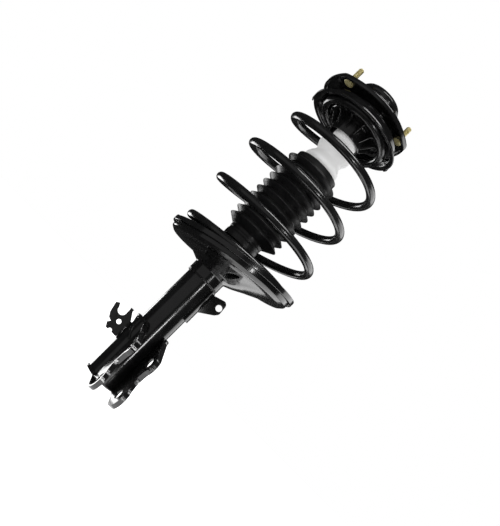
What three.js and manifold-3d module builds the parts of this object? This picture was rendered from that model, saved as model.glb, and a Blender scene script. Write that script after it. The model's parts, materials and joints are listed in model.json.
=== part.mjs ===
// Front suspension strut assembly: damper, coil spring, spring seats, boot and top mount.
// Millimetres. +Z runs up the damper's axis and the origin is on that axis, at the closed end of
// the tube. The arms of the knuckle bracket open towards -Y, turned a little towards +X.

import * as THREE from "three";
import { mergeVertices } from "three/addons/utils/BufferGeometryUtils.js";
import Module from "manifold-3d";

const wasm = await Module();
wasm.setup();

// ---------------------------------------------------------------- driving dimensions

const gap = 0.3; // left between two pieces that touch
const sheet = 2.8; // pressed steel of the seats, brackets and mount
const rubber = 2.5; // spring insulators

const tube = { radius: 22.5, wall: 2.2, floor: 5, top: 284 };
const cap = { wall: 2, skirt: 20 };
const cylinder = { bore: 15, wall: 1.5, drop: 23 };
const guide = { height: 13, spigot: 10 };
const seal = { height: 6 };
const rod = { radius: 10, shoulder: 487, end: 37, thread: 7 };
const piston = { height: 22, neck: 6, clearance: 0.2 };
const stopRing = { height: 12, wall: 4, above: 5 };
const nut = { piston: 10, pistonFlats: 18, top: 11, topFlats: 22 };

const coil = { radius: 81.5, wire: 12.2, turns: 5.15, closing: 3.6, closed: 4.5, tailRadius: 52, belly: 4.5 };
const climb = { start: 0.4, full: 1, turns: 3.9, bend: 12, sag: 2, tipX: -0.02, tipY: 0.04 };
const lowerSeat = { height: 232, offset: 11, coilOffset: 1, lean: 0.14, floor: 12.5, lip: 4.2, hang: 5 };
const skirt = { drop: 48, height: 14, wall: 2 };
const drain = { width: 12, length: 27, turn: 28 }; // degrees from -Y
const upperSeat = { rise: 3.5, offset: -1, lean: -0.06, depth: 16.5, lip: 6.7 };
const boss = { radius: 24, wall: 3, drop: 36, well: 14 };

const bumper = { length: 116, radius: 27.5, waist: 21.2, bulges: 3, bulgePitch: 27.7, topBulge: 51.3 };
const sideways = 2; // how far the boot and the bump stop lean off the rod's axis
const boot = { low: 13.5, high: 92, ridges: 10, radius: 41.5, depth: 8, wall: 1.8, collar: 6, foot: 20.5 };

const plate = { rise: 18, offset: -4.5, lean: -0.06, margin: 10, corner: 15, sweep: 15, rim: 5 };
const plateTurn = -18; // degrees from +X to the first stud
const stud = { radius: 4, length: 22, head: 7, headHeight: 3 };
const dome = { radius: 34, height: 31, flange: 8, mouth: 19 };
const race = { outer: 20.5, inner: 11, ball: 2.7, width: 12, balls: 10, spacer: 4 };

const knuckle = { top: 96, low: 2, armGap: 28.5, reach: 64, lip: 4, turn: -72.5 };
const bolt = { radius: 7.2, reach: 48, low: 9, high: 62 };
const hose = { low: 53, high: 80, arm: 18, fork: 83, notch: 6.3 };
const link = { low: 130, high: 182, arm: 19, hole: 4.6 };

// ---------------------------------------------------------------- materials

const coat = (name, color, roughness, metalness) =>
  new THREE.MeshStandardMaterial({ name, color, roughness, metalness });
const black = coat("black_paint", 0x0d0d0e, 0.28, 0.3);
const steel = coat("steel", 0xb9bcc0, 0.3, 1);
const chrome = coat("chrome", 0xd9dcdf, 0.1, 1);
const zinc = coat("zinc", 0xc9a94e, 0.35, 0.9);
const blackRubber = coat("rubber", 0x111112, 0.6, 0);
const foam = coat("foam", 0xf0eee6, 0.8, 0);
const plastic = coat("plastic", 0x2b2b2d, 0.5, 0);

// ---------------------------------------------------------------- solids

const fine = 32; // facets round the large pressings
const medium = 24; // round the damper's parts
const small = 14; // round holes, studs and balls

// A solid from a closed geometry: corners are shared and slivers that meet the axis are dropped.
function solid(geometry) {
  const bare = new THREE.BufferGeometry();
  bare.setAttribute("position", geometry.getAttribute("position"));
  bare.setIndex(geometry.getIndex());
  const merged = mergeVertices(bare, 1e-4);
  const index = [...merged.getIndex().array];
  const kept = [];
  for (let i = 0; i < index.length; i += 3) {
    const [a, b, c] = index.slice(i, i + 3);
    if (a !== b && b !== c && c !== a) kept.push(a, b, c);
  }
  const vertProperties = new Float32Array(merged.getAttribute("position").array);
  return new wasm.Manifold(new wasm.Mesh({ numProp: 3, vertProperties, triVerts: new Uint32Array(kept) }));
}

function geometryOf(body) {
  const { vertProperties, triVerts } = body.getMesh();
  const geometry = new THREE.BufferGeometry();
  geometry.setAttribute("position", new THREE.BufferAttribute(new Float32Array(vertProperties), 3));
  geometry.setIndex(new THREE.BufferAttribute(new Uint32Array(triVerts), 1));
  geometry.computeVertexNormals();
  return geometry;
}

const group = new THREE.Group();

function add(name, body, material) {
  const mesh = new THREE.Mesh(geometryOf(body), material);
  mesh.name = name;
  group.add(mesh);
  return mesh;
}

// A skin through rings of points. Each ring joins the next and the last joins the first.
function skin(rings) {
  const count = rings[0].length;
  const position = rings.flat().flatMap((point) => point.toArray());
  const index = [];
  rings.forEach((ring, i) => {
    const j = (i + 1) % rings.length;
    for (let k = 0; k < count; k += 1) {
      const next = (k + 1) % count;
      index.push(i * count + k, i * count + next, j * count + k);
      index.push(i * count + next, j * count + next, j * count + k);
    }
  });
  const geometry = new THREE.BufferGeometry();
  geometry.setAttribute("position", new THREE.Float32BufferAttribute(position, 3));
  geometry.setIndex(index);
  return solid(geometry);
}

const upright = { offset: 0, leanX: 0, leanY: 0 };

// A turned ring. The profile is a closed loop of [radius, height, share] that runs anticlockwise,
// up its outer side; share is how much of the seat's offset and lean that point takes.
function turned(profile, seat = upright, facets = medium) {
  const rings = profile.map(([radius, height, share = 1]) =>
    Array.from({ length: facets }, (_, k) => {
      const angle = (2 * Math.PI * k) / facets;
      const dx = radius * Math.cos(angle);
      const dy = radius * Math.sin(angle);
      const rise = share * (seat.leanX * dx + seat.leanY * dy);
      return new THREE.Vector3(share * seat.offset + dx, dy, height + rise);
    }),
  );
  return skin(rings);
}

// A solid round piece: its profile starts and ends on the axis.
function round(profile, facets = medium) {
  const points = profile.map(([radius, height]) => new THREE.Vector2(radius, height));
  return solid(new THREE.LatheGeometry(points, facets).rotateX(Math.PI / 2));
}

function cylinderAt(radius, low, high, facets = small) {
  return round([[0, low], [radius, low], [radius, high], [0, high]], facets);
}

const washer = (inner, outer, low, high, facets = medium) =>
  turned([[inner, low], [outer, low], [outer, high], [inner, high]], upright, facets);

function extruded(shape, depth, curveSegments = 5) {
  return solid(new THREE.ExtrudeGeometry(shape, { depth, bevelEnabled: false, curveSegments }));
}

function placed(body, matrix) {
  return solid(geometryOf(body).applyMatrix4(matrix));
}

const turnedAbout = (degrees) => new THREE.Matrix4().makeRotationZ(THREE.MathUtils.degToRad(degrees));
const movedBy = (x, y, z) => new THREE.Matrix4().makeTranslation(x, y, z);

// ---------------------------------------------------------------- shared places

const seatTop = rod.shoulder + upperSeat.rise;
const plateTop = rod.shoulder + plate.rise;
const hubTop = rod.shoulder + gap + sheet;
const studCircle = dome.radius + dome.flange + stud.head + plate.margin;
const cylinderTop = tube.top - cylinder.drop;
const wireRadius = coil.wire / 2;

// ---------------------------------------------------------------- damper tube and its inside

const tubeBore = tube.radius - tube.wall;
const chamfer = 2.5;

function addTube() {
  const outside = [[0, 0], [tube.radius - chamfer, 0], [tube.radius, chamfer], [tube.radius, tube.top]];
  const inside = [[tubeBore, tube.top], [tubeBore, tube.floor], [0, tube.floor]];
  add("strut_tube", round([...outside, ...inside], fine), black);
}

function addCylinder() {
  const foot = 12;
  const outer = cylinder.bore + cylinder.wall;
  const low = tube.floor + foot + 2 * gap;
  add("pressure_cylinder", washer(cylinder.bore, outer, low, cylinderTop), steel);

  const spigot = cylinder.bore - gap;
  const ledge = tube.floor + gap + foot;
  const valve = round([[0, tube.floor + gap], [outer, tube.floor + gap], [outer, ledge],
    [spigot, ledge], [spigot, ledge + foot / 2], [0, ledge + foot / 2]]);
  add("base_valve", valve, steel);
}

function addRodGuide() {
  const low = cylinderTop + gap;
  const bore = rod.radius + gap;
  const outer = tubeBore - gap;
  const spigot = cylinder.bore - gap;
  const guideTop = low + guide.height;
  const profile = [[bore, low - guide.spigot], [spigot, low - guide.spigot], [spigot, low],
    [outer, low], [outer, guideTop], [bore, guideTop]];
  add("rod_guide", turned(profile), steel);
  const sealLow = guideTop + gap;
  add("rod_seal", washer(bore, outer, sealLow, sealLow + seal.height), blackRubber);
}

const capRadius = tube.radius + gap + cap.wall;
const capTop = tube.top + gap + cap.wall;

function addTubeCap() {
  const mouth = rod.radius + 1.5;
  const profile = [[tube.radius + gap, tube.top - cap.skirt], [capRadius, tube.top - cap.skirt],
    [capRadius, capTop - 1], [capRadius - 1, capTop], [mouth, capTop], [mouth, tube.top + gap],
    [tube.radius + gap, tube.top + gap]];
  add("tube_cap", turned(profile), black);
}

// ---------------------------------------------------------------- piston rod

const guideLow = cylinderTop + gap - guide.spigot;
const ringLow = guideLow - gap - stopRing.height;
const pistonTop = ringLow - gap - stopRing.above;
const pistonLow = pistonTop - piston.height;

function hexagon(acrossFlats, depth, boreRadius) {
  const shape = new THREE.Shape();
  const corner = acrossFlats / Math.sqrt(3);
  for (let k = 0; k < 6; k += 1) {
    const angle = (k * Math.PI) / 3;
    const point = [corner * Math.cos(angle), corner * Math.sin(angle)];
    if (k === 0) shape.moveTo(...point);
    else shape.lineTo(...point);
  }
  shape.closePath();
  const bore = cylinderAt(boreRadius, -1, depth + 1);
  return extruded(shape, depth).subtract(bore);
}

function addRod() {
  const neckLow = pistonLow - gap - nut.piston - 3;
  const rodTop = rod.shoulder + rod.end;
  const neckTop = pistonTop + gap;
  const profile = [[0, neckLow], [piston.neck, neckLow], [piston.neck, neckTop], [rod.radius, neckTop],
    [rod.radius, rod.shoulder], [rod.thread, rod.shoulder], [rod.thread, rodTop - 1],
    [rod.thread - 1, rodTop], [0, rodTop]];
  add("piston_rod", round(profile), chrome);

  const bore = piston.neck + gap;
  add("piston", washer(bore, cylinder.bore - piston.clearance, pistonLow, pistonTop), steel);
  const pistonNut = hexagon(nut.pistonFlats, nut.piston, bore);
  add("piston_nut", placed(pistonNut, movedBy(0, 0, pistonLow - gap - nut.piston)), steel);
  const ringBore = rod.radius + gap;
  const ringOuter = Math.min(ringBore + stopRing.wall, cylinder.bore - 2 * gap);
  add("rebound_stop", washer(ringBore, ringOuter, ringLow, ringLow + stopRing.height), plastic);
}

// ---------------------------------------------------------------- coil spring and its seats

const seatFloor = lowerSeat.height - lowerSeat.floor;
const lowerPlane = { offset: lowerSeat.offset, leanX: lowerSeat.lean, leanY: 0 };
const upperPlane = { offset: upperSeat.offset, leanX: 0, leanY: upperSeat.lean };
const coilLow = seatFloor + 2 * gap + rubber + wireRadius;
const coilHigh = seatTop - sheet - 2 * gap - rubber - wireRadius;
const coilPitch = (coilHigh - coilLow) / climb.turns;

// How far the wire has climbed above the lower seat: it lifts off gently, climbs evenly, then
// rounds over to lie flat under the upper seat.
function climbed(turn) {
  const lifting = THREE.MathUtils.clamp(turn - climb.start, 0, climb.full - climb.start);
  const lift = lifting ** 2 / (2 * (climb.full - climb.start));
  const free = coilPitch * (lift + Math.max(0, turn - climb.full));
  const over = THREE.MathUtils.clamp(free - (coilHigh - coilLow - climb.bend), 0, 2 * climb.bend);
  return Math.min(free, coilHigh - coilLow + climb.bend) - over ** 2 / (4 * climb.bend);
}

// The centre of the wire. Turns are counted from the lower end and wind to the left. The coil
// leans with the lower seat and sags a little between the seats. Its last turn closes in to the
// smaller tail.
class CoilPath extends THREE.Curve {
  getPoint(t) {
    const turn = t * coil.turns;
    const rise = climbed(turn);
    const share = rise / (coilHigh - coilLow);
    const flatten = THREE.MathUtils.smoothstep(share, 0.85, 1);
    const free = THREE.MathUtils.smoothstep(share, 0.05, 0.25) * (1 - flatten);
    const closing = THREE.MathUtils.smoothstep(turn, coil.closing, coil.closed);
    const belly = coil.belly * Math.sin(Math.PI * Math.min(1, share / 0.8));
    const radius = THREE.MathUtils.lerp(coil.radius + belly, coil.tailRadius, closing);
    const angle = Math.PI - 2 * Math.PI * (turn - 1);
    const dx = radius * Math.cos(angle);
    const dy = radius * Math.sin(angle);
    const lean = (1 - flatten) * lowerPlane.leanX * dx + flatten * upperPlane.leanY * dy;
    const sag = free * (climb.tipX * dx + climb.tipY * dy - climb.sag);
    const inward = THREE.MathUtils.smoothstep(share, 0, 0.55);
    const middle = THREE.MathUtils.lerp(lowerPlane.offset, lowerSeat.coilOffset, inward);
    const offset = THREE.MathUtils.lerp(middle, upperPlane.offset, flatten);
    return new THREE.Vector3(offset + dx, dy, coilLow + rise + lean + sag);
  }
}

function addSpring() {
  const wire = new THREE.Shape();
  wire.absarc(0, 0, wireRadius, 0, 2 * Math.PI, false);
  const steps = Math.round(coil.turns * 22);
  const sweep = { steps, extrudePath: new CoilPath(), curveSegments: 4 };
  add("coil_spring", solid(new THREE.ExtrudeGeometry(wire, sweep)), black);
}

function addLowerSeat() {
  const top = lowerSeat.height;
  const wallInner = coil.radius + wireRadius + 1.2;
  const wallOuter = wallInner + sheet;
  const lipOuter = wallOuter + lowerSeat.lip;
  const trackInner = coil.radius - wireRadius - 3;
  const sleeveInner = tube.radius + gap;
  const sleeveOuter = sleeveInner + skirt.wall;
  const sleeveLow = top - skirt.drop;
  const sleeveHigh = sleeveLow + skirt.height;
  const knee = sleeveOuter + 22;
  const under = [[sleeveInner, sleeveLow, 0], [sleeveOuter, sleeveLow, 0], [sleeveOuter, sleeveHigh, 0],
    [knee, sleeveHigh + 10, 0.5], [trackInner - 6, seatFloor - sheet - 2.5],
    [trackInner, seatFloor - sheet], [wallInner - 3, seatFloor - sheet], [wallOuter, seatFloor + 1.5],
    [wallOuter, top - 2], [wallOuter + 0.5, top - 0.5], [lipOuter - 1.8, top - 0.5],
    [lipOuter - 1.8, top - lowerSeat.hang], [lipOuter, top - lowerSeat.hang], [lipOuter, top]];
  const over = [[lipOuter, top + 2], [wallInner + 1.5, top + 1.5], [wallInner, top - 0.5],
    [wallInner, seatFloor + 2], [wallInner - 2, seatFloor], [trackInner, seatFloor],
    [trackInner - 5, seatFloor - 2], [knee, sleeveHigh + 13.5, 0.5], [sleeveInner, sleeveHigh + 4.5, 0]];
  const dish = turned([...under, ...over], lowerPlane, fine);
  const drainReach = (sleeveOuter + trackInner) / 2 + 1.5;
  const drainHole = cylinderAt(1, sleeveLow, top + 60);
  const drainPlace = turnedAbout(drain.turn).multiply(movedBy(0, -drainReach, 0));
  drainPlace.scale(new THREE.Vector3(drain.width / 2, drain.length / 2, 1));
  add("lower_spring_seat", dish.subtract(placed(drainHole, drainPlace)), black);

  const padLow = seatFloor + gap;
  const padOuter = wallInner - 2 - gap;
  const pad = [[trackInner + 1, padLow], [padOuter, padLow], [padOuter, padLow + rubber],
    [trackInner + 1, padLow + rubber]];
  add("lower_insulator", turned(pad, lowerPlane, fine), blackRubber);
}

const pocketInner = coil.tailRadius - wireRadius - 1.6;
const pocketOuter = coil.tailRadius + wireRadius + 2;

function addUpperSeat() {
  const top = seatTop;
  const bossLow = top - boss.drop;
  const bossInner = boss.radius;
  const bossOuter = bossInner + boss.wall;
  const well = top - boss.well;
  const rimLow = top - upperSeat.depth;
  const rim = pocketOuter + sheet + 2.4;
  const lip = rim + upperSeat.lip;
  const bore = rod.thread + gap;
  const under = [[bore, rod.shoulder + gap, 0], [bossInner - 3, rod.shoulder + gap, 0],
    [bossInner, hubTop - sheet - 3, 0.2], [bossInner, bossLow], [bossOuter, bossLow],
    [bossOuter, well], [pocketInner - 2, well], [pocketInner, well + 2], [pocketInner, top - sheet], [pocketOuter, top - sheet],
    [pocketOuter + 0.5, rimLow + 6], [rim, rimLow + 1], [lip, rimLow]];
  const over = [[lip, rimLow + sheet], [rim, rimLow + sheet + 1], [pocketOuter + sheet + 0.5, rimLow + 7],
    [pocketOuter + sheet, top - 2], [pocketOuter + sheet - 2, top], [pocketInner - sheet, top],
    [pocketInner - sheet, well + sheet + 1], [pocketInner - sheet - 1, well + sheet],
    [bossOuter + 1, well + sheet], [bossOuter, well + sheet + 1],
    [bossOuter - 1, hubTop, 0.2], [bore, hubTop, 0]];
  add("upper_spring_seat", turned([...under, ...over], upperPlane, fine), black);

  const padTop = top - sheet - gap;
  const pad = [[pocketInner + gap, padTop - rubber], [pocketOuter - gap, padTop - rubber],
    [pocketOuter - gap, padTop], [pocketInner + gap, padTop]];
  add("upper_insulator", turned(pad, upperPlane, fine), blackRubber);
}

// ---------------------------------------------------------------- bump stop and dust boot

// Foam with round bulges; the lowest ones sit inside the boot.
function addBumpStop() {
  const bore = rod.radius + gap;
  const top = rod.shoulder - 1;
  const low = top - bumper.length;
  const half = bumper.bulgePitch / 2;
  const lowest = rod.shoulder - bumper.topBulge - (bumper.bulges - 1) * bumper.bulgePitch;
  const aside = { ...upright, offset: sideways };
  const outside = [[bumper.waist - 4, low]];
  for (let k = 0; k < bumper.bulges; k += 1) {
    const middle = lowest + k * bumper.bulgePitch;
    outside.push([bumper.radius - 1.5, middle - half / 3], [bumper.radius, middle]);
    outside.push([bumper.radius - 1.5, middle + half / 3], [bumper.waist, middle + half * 0.9]);
  }
  outside.push([bumper.waist - 1, seatTop - boss.drop - 2], [bumper.waist - 1, top, 0.5]);
  add("bump_stop", turned([[bore, low, 0], ...outside, [bore, top, 0]], aside), foam);
}

// A bellows whose foot grips the tube's cap and whose collar grips the bump stop.
function addBoot() {
  const low = tube.top - boot.low;
  const high = rod.shoulder - boot.high;
  const pitch = (high - low) / boot.ridges;
  const valley = boot.radius - boot.depth;
  const thick = boot.wall + 0.4;
  const outside = [];
  for (let k = 0; k < boot.ridges; k += 1) {
    if (k > 0) outside.push([valley, low + k * pitch]);
    outside.push([boot.radius, low + (k + 0.5) * pitch]);
  }
  const inside = outside.map(([radius, height]) => [radius - thick, height]).reverse();
  const footInner = capRadius + gap;
  const footOuter = footInner + boot.wall;
  const footHigh = low - 3;
  const footLow = low - boot.foot;
  const foot = [[footInner, footLow, 0], [footOuter, footLow, 0], [footOuter, footHigh, 0]];
  const neckInner = bumper.radius + gap;
  const neckOuter = neckInner + 3 * boot.wall;
  const collarTop = high + boot.collar;
  const collar = [[neckOuter, high - 2], [neckOuter, collarTop], [neckInner, collarTop], [neckInner, high]];
  const profile = [...foot, ...outside, ...collar, ...inside, [footInner, footHigh + thick, 0]];
  add("dust_boot", turned(profile, { ...upright, offset: sideways }), blackRubber);
}

// ---------------------------------------------------------------- top mount

const platePlane = { offset: plate.offset, leanX: 0, leanY: plate.lean };

// Takes a piece drawn about the plate's own centre to its place, leaning with the plate.
const onPlate = new THREE.Matrix4().set(
  1, 0, 0, plate.offset,
  0, 1, 0, 0,
  0, plate.lean, 1, 0,
  0, 0, 0, 1,
);

// A triangle with an arc round each stud and sides that bulge to meet the arcs smoothly, drawn in
// from its edge by inset.
function plateOutline(inset) {
  const shape = new THREE.Shape();
  const third = (2 * Math.PI) / 3;
  const first = THREE.MathUtils.degToRad(plateTurn);
  const half = THREE.MathUtils.degToRad(plate.sweep);
  const radius = plate.corner - inset;
  const sweptBy = (length, angle) => new THREE.Vector2(length * Math.cos(angle), length * Math.sin(angle));
  for (let k = 0; k < 3; k += 1) {
    const angle = first + k * third;
    const centre = sweptBy(studCircle, angle);
    shape.absarc(centre.x, centre.y, radius, angle - half, angle + half, false);
    const edge = sweptBy(radius, angle + half);
    const tangent = sweptBy(1, angle + half + Math.PI / 2);
    const across = sweptBy(1, angle + third / 2 + Math.PI / 2);
    const from = centre.clone().add(edge);
    const control = from.clone().add(tangent.multiplyScalar(-from.dot(across) / tangent.dot(across)));
    const next = angle + third;
    const to = sweptBy(studCircle, next).add(sweptBy(radius, next - half));
    shape.quadraticCurveTo(control.x, control.y, to.x, to.y);
  }
  return shape;
}

const studPlaces = [0, 1, 2].map((k) => {
  const angle = THREE.MathUtils.degToRad(plateTurn + 120 * k);
  return [studCircle * Math.cos(angle), studCircle * Math.sin(angle)];
});

function addMountPlate() {
  const low = plateTop - sheet - plate.rim;
  const block = placed(extruded(plateOutline(0), sheet + plate.rim), movedBy(0, 0, low));
  const hollow = placed(extruded(plateOutline(sheet), plate.rim + 1), movedBy(0, 0, low - 1));
  const opening = cylinderAt(dome.radius + gap, low, plateTop + 1, fine);
  const mouth = placed(opening, movedBy(-plate.offset, 0, 0));
  const hole = cylinderAt(stud.radius + gap, low, plateTop + 1);
  let body = block.subtract(hollow).subtract(mouth);
  studPlaces.forEach(([x, y]) => {
    body = body.subtract(placed(hole, movedBy(x, y, 0)));
  });
  add("mount_plate", placed(body, onPlate), black);
}

function addStuds() {
  const under = plateTop - sheet - gap;
  const tip = plateTop + stud.length;
  const profile = [[0, under - stud.headHeight], [stud.head, under - stud.headHeight], [stud.head, under],
    [stud.radius, under], [stud.radius, tip - 1.5], [stud.radius - 1.5, tip], [0, tip]];
  studPlaces.forEach(([x, y], k) => {
    const matrix = onPlate.clone().multiply(movedBy(x, y, 0));
    add(`mount_stud_${k + 1}`, placed(round(profile, small), matrix), zinc);
  });
}

const domePlane = { ...platePlane, offset: 0 };

// A cup that stands up through the plate; its flange is welded to the plate's underside.
function addDome() {
  const flangeTop = plateTop - sheet - gap;
  const low = flangeTop - sheet;
  const top = plateTop + dome.height;
  const flange = dome.radius + dome.flange;
  const profile = [[dome.radius - sheet, low], [flange, low], [flange, flangeTop],
    [dome.radius, flangeTop], [dome.radius, top - 6],
    [dome.radius - 4, top], [dome.mouth, top], [dome.mouth, top - sheet], [dome.radius - 5, top - sheet],
    [dome.radius - sheet, top - 7]];
  add("mount_dome", turned(profile, domePlane, fine), black);
}

const raceLow = hubTop + 2 * gap + race.spacer;
const raceTop = raceLow + race.width;
const housingInner = race.outer + gap;
const housingOuter = housingInner + 2;

function addBearing() {
  const bore = rod.thread + gap;
  add("bearing_spacer", washer(bore, race.inner + 1, hubTop + gap, hubTop + gap + race.spacer), steel);
  add("bearing_inner_race", washer(bore, race.inner, raceLow, raceTop), steel);
  const trackOuter = race.inner + 2 * race.ball + 2 * gap;
  add("bearing_outer_race", washer(trackOuter, race.outer, raceLow, raceTop), steel);

  const circle = race.inner + gap + race.ball;
  const level = (raceLow + raceTop) / 2;
  let cage = washer(circle - 0.9, circle + 0.9, level - 1.5, level + 1.5);
  for (let k = 0; k < race.balls; k += 1) {
    const angle = (2 * Math.PI * k) / race.balls;
    const ball = solid(new THREE.SphereGeometry(race.ball, 8, 6));
    cage = cage.add(placed(ball, movedBy(circle * Math.cos(angle), circle * Math.sin(angle), level)));
  }
  add("bearing_balls", cage, steel);

  const foot = raceLow - 0.5;
  const housing = [[housingInner, foot], [housingOuter, foot], [housingOuter, raceTop + 2.5],
    [trackOuter + 0.5, raceTop + 2.5], [trackOuter + 0.5, raceTop + gap], [housingInner, raceTop + gap]];
  add("bearing_housing", turned(housing), steel);

  const rubberOuter = dome.radius - sheet - gap;
  const domeTop = plateTop + dome.height;
  const rubberTop = domeTop - sheet - 7;
  const profile = [[housingOuter + gap, raceLow, 0], [rubberOuter - 2, plateTop - sheet - 4],
    [rubberOuter, plateTop - sheet], [rubberOuter, rubberTop - 3], [rubberOuter - 4, rubberTop + 2],
    [dome.mouth + 1.5, rubberTop + 2, 0.6], [dome.mouth - 1, rubberTop - 1, 0.4],
    [dome.mouth - 1, raceTop + 3.5, 0], [housingOuter + gap, raceTop + 3.5, 0]];
  add("mount_rubber", turned(profile, domePlane), blackRubber);
}

function addRodNut() {
  const washerLow = raceTop + gap;
  const washerTop = washerLow + 2.5;
  const bore = rod.thread + gap;
  add("rod_washer", washer(bore, race.inner + 2, washerLow, washerTop), zinc);
  const topNut = hexagon(nut.topFlats, nut.top, bore);
  add("rod_nut", placed(topNut, movedBy(0, 0, washerTop + gap)), zinc);
}

// ---------------------------------------------------------------- brackets on the tube

// Seen from above, the bracket wraps the tube and its two arms run parallel to +X.
function knuckleSection() {
  const inner = tube.radius + gap;
  const outer = inner + sheet;
  const armInner = knuckle.armGap / 2;
  const armOuter = armInner + sheet;
  const outerAngle = Math.asin(armOuter / outer);
  const innerAngle = Math.asin(armInner / inner);
  const reach = knuckle.reach + 5;
  const shape = new THREE.Shape();
  shape.moveTo(reach, armOuter);
  shape.absarc(0, 0, outer, outerAngle, 2 * Math.PI - outerAngle, false);
  shape.lineTo(reach, -armOuter);
  shape.lineTo(reach, -armInner);
  shape.absarc(0, 0, inner, 2 * Math.PI - innerAngle, innerAngle, true);
  shape.lineTo(reach, armInner);
  shape.closePath();
  return shape;
}

// The arm seen from the side: reach from the axis along x, height along y. Each bolt has a lobe.
function armOutline(inset) {
  const lobe = knuckle.reach - bolt.reach - inset;
  const { low, high, reach } = bolt;
  const back = -tube.radius - 10;
  const start = tube.radius - 4;
  const shape = new THREE.Shape();
  const turn = (degrees) => THREE.MathUtils.degToRad(degrees);
  shape.moveTo(back, knuckle.low + inset);
  shape.lineTo(start, knuckle.low + inset);
  shape.lineTo(reach - 17, low - lobe + 5);
  shape.absarc(reach, low, lobe + 2, turn(-100), turn(50), false);
  shape.lineTo(reach + lobe * 0.42, (low + high) / 2);
  shape.absarc(reach, high, lobe, turn(-50), turn(42), false);
  shape.lineTo(tube.radius + 4, knuckle.top - 4 - inset);
  shape.lineTo(start, knuckle.top - inset);
  shape.lineTo(back, knuckle.top - inset);
  shape.closePath();
  return shape;
}

// Stands a side outline upright and gives it a thickness from one distance to another off the
// bracket's middle plane.
function upStanding(shape, from, to) {
  const matrix = new THREE.Matrix4().makeRotationX(Math.PI / 2).premultiply(movedBy(0, to, 0));
  return placed(extruded(shape, to - from), matrix);
}

function addKnuckleBracket() {
  const armInner = knuckle.armGap / 2;
  const armOuter = armInner + sheet;
  const wide = tube.radius + sheet + 10;
  const height = knuckle.top - knuckle.low + 40;
  const section = placed(extruded(knuckleSection(), height, 14), movedBy(0, 0, knuckle.low - 20));
  let body = section.intersect(upStanding(armOutline(0), -wide, wide));
  const lipStart = tube.radius + 3;
  const keep = new THREE.Shape();
  keep.moveTo(lipStart, knuckle.low - 20);
  keep.lineTo(knuckle.reach + 20, knuckle.low - 20);
  keep.lineTo(knuckle.reach + 20, knuckle.top + 20);
  keep.lineTo(lipStart, knuckle.top + 20);
  keep.closePath();
  [1, -1].forEach((side) => {
    const from = side > 0 ? armInner : -armOuter - knuckle.lip;
    const to = side > 0 ? armOuter + knuckle.lip : -armInner;
    const inside = upStanding(armOutline(sheet), from - 1, to + 1);
    const rim = upStanding(armOutline(0), from, to).subtract(inside);
    body = body.add(rim.intersect(upStanding(keep, from - 1, to + 1)));
  });
  [bolt.low, bolt.high].forEach((level) => {
    const hole = new THREE.Shape();
    hole.absarc(bolt.reach, level, bolt.radius, 0, 2 * Math.PI, false);
    body = body.subtract(upStanding(hole, -wide, wide));
  });
  add("knuckle_bracket", placed(body, turnedAbout(knuckle.turn)), black);
}

// A flat plate that faces -Y, drawn with x across and z up.
function facing(shape, front, thickness) {
  const standing = new THREE.Matrix4().makeRotationX(Math.PI / 2);
  const matrix = standing.premultiply(movedBy(0, front + thickness, 0));
  return placed(extruded(shape, thickness), matrix);
}

function arcBand(radius, from, to, low, high, thickness) {
  const shape = new THREE.Shape();
  const turn = (degrees) => THREE.MathUtils.degToRad(degrees);
  shape.absarc(0, 0, radius + thickness, turn(from), turn(to), false);
  shape.absarc(0, 0, radius, turn(to), turn(from), true);
  shape.closePath();
  return placed(extruded(shape, high - low, 8), movedBy(0, 0, low));
}

// A fork that holds the brake hose, on a foot that follows the bracket's back.
function addHoseBracket() {
  const inner = tube.radius + 2 * gap + sheet;
  const thickness = sheet - 0.3;
  const front = -1;
  const foot = arcBand(inner, 150, 205, hose.low, hose.high, thickness);
  const edge = -Math.sqrt((inner + thickness / 2) ** 2 - front ** 2);
  const x = edge - hose.arm;
  const z = hose.fork;
  const { notch } = hose;
  const shape = new THREE.Shape();
  shape.moveTo(edge, hose.low);
  shape.lineTo(edge, hose.high);
  shape.lineTo(x + notch + 4, z + 8);
  shape.lineTo(x + notch + 4, z + 10.5);
  shape.lineTo(x + notch - 0.5, z + 10.5);
  shape.lineTo(x + notch, z);
  shape.absarc(x, z, notch, 0, -Math.PI, true);
  shape.lineTo(x - notch - 3, z + 5);
  shape.lineTo(x - notch - 7.5, z + 2);
  shape.lineTo(x - notch - 4, z - 12);
  shape.lineTo(x - notch, z - 18);
  shape.lineTo(x - 1, z - 20);
  shape.lineTo(x - 4, z - 24);
  shape.lineTo(x, hose.low);
  shape.lineTo(x + 3.5, hose.low);
  shape.absarc(x + 6.5, hose.low + 0.5, 3, Math.PI, 0, true);
  shape.closePath();
  const hole = new THREE.Path();
  hole.absarc(x + 7, z - 13.5, 3.4, 0, 2 * Math.PI, false);
  shape.holes.push(hole);
  add("brake_hose_bracket", foot.add(facing(shape, front, thickness)), black);
}

// A tab for the stabilizer link, on a foot that is welded round the tube.
function addLinkBracket() {
  const inner = tube.radius + gap;
  const foot = arcBand(inner, -34, 24, link.low, link.high, sheet);
  const edge = inner + sheet / 2;
  const holeX = tube.radius + link.arm;
  const holeZ = link.high - 9;
  const corner = 6;
  const turn = (degrees) => THREE.MathUtils.degToRad(degrees);
  const shape = new THREE.Shape();
  shape.moveTo(edge, holeZ - 24);
  shape.lineTo(holeX + 2, holeZ - 11);
  shape.absarc(holeX, holeZ - 4, corner, turn(-30), turn(0), false);
  shape.absarc(holeX - 1, holeZ + 6, corner, turn(0), turn(90), false);
  shape.lineTo(edge + 6, link.high);
  shape.lineTo(edge, link.high - 2);
  shape.closePath();
  const hole = new THREE.Path();
  hole.absarc(holeX, holeZ, link.hole, 0, 2 * Math.PI, false);
  shape.holes.push(hole);
  add("stabilizer_link_bracket", foot.add(facing(shape, -sheet, sheet)), black);
}

// ---------------------------------------------------------------- the assembly

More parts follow.
